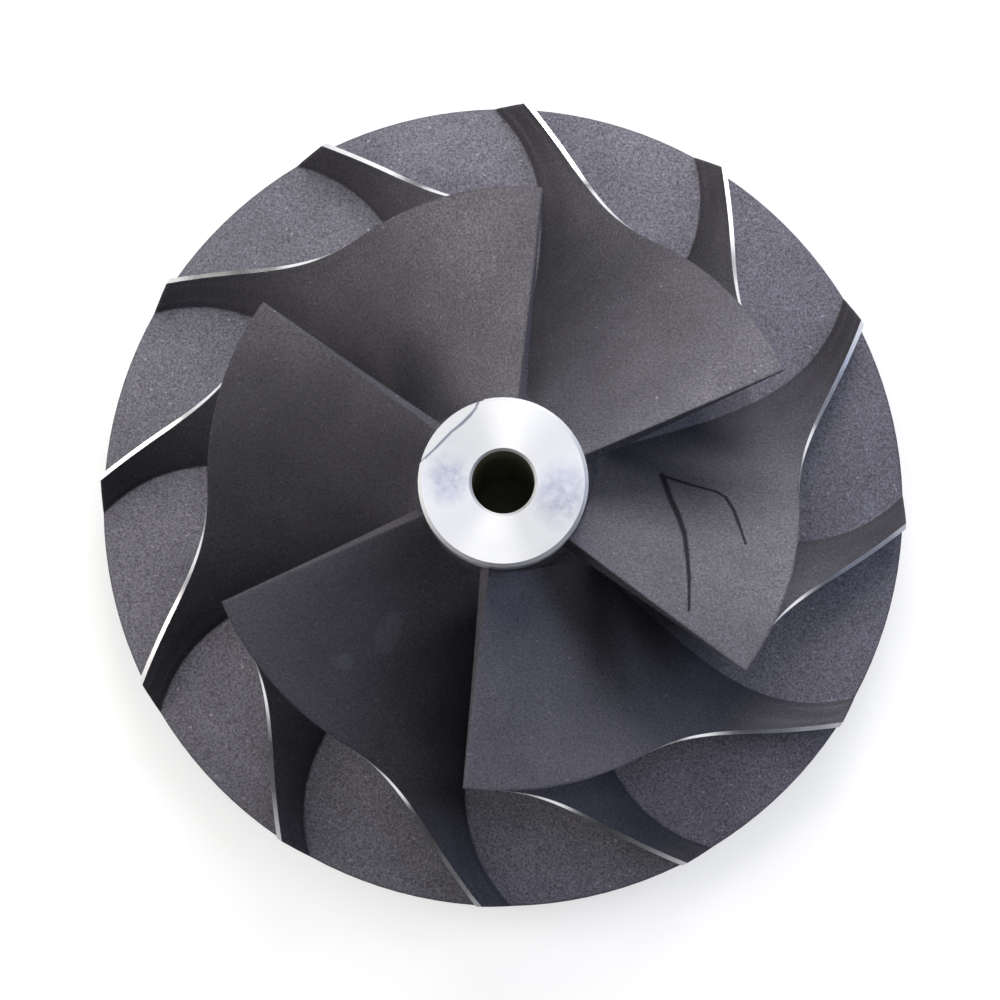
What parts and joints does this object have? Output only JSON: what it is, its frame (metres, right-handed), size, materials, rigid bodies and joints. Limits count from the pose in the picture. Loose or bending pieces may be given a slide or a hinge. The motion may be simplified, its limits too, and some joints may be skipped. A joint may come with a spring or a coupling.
{
  "type": "compressor wheel",
  "caption": "Radial compressor wheel: backswept full and splitter blades on a thin disc, a turned nose and a plain through bore for the shaft.",
  "frame": {"origin": "on the bore axis, in the plane of the flat rear hub face that the wheel stands on", "axes": "+Z along the bore axis from the rear hub face to the nose; +Y towards the first full blade's leading edge, as seen from the nose, with +X a quarter turn clockwise from it"},
  "size_m": [0.082, 0.082, 0.0344],
  "materials": {
    "cast_aluminium": "cast and blasted, bright where turned"
  },
  "bodies": {
    "root": {"compressor_wheel": "cast_aluminium"}
  },
  "joints": []
}
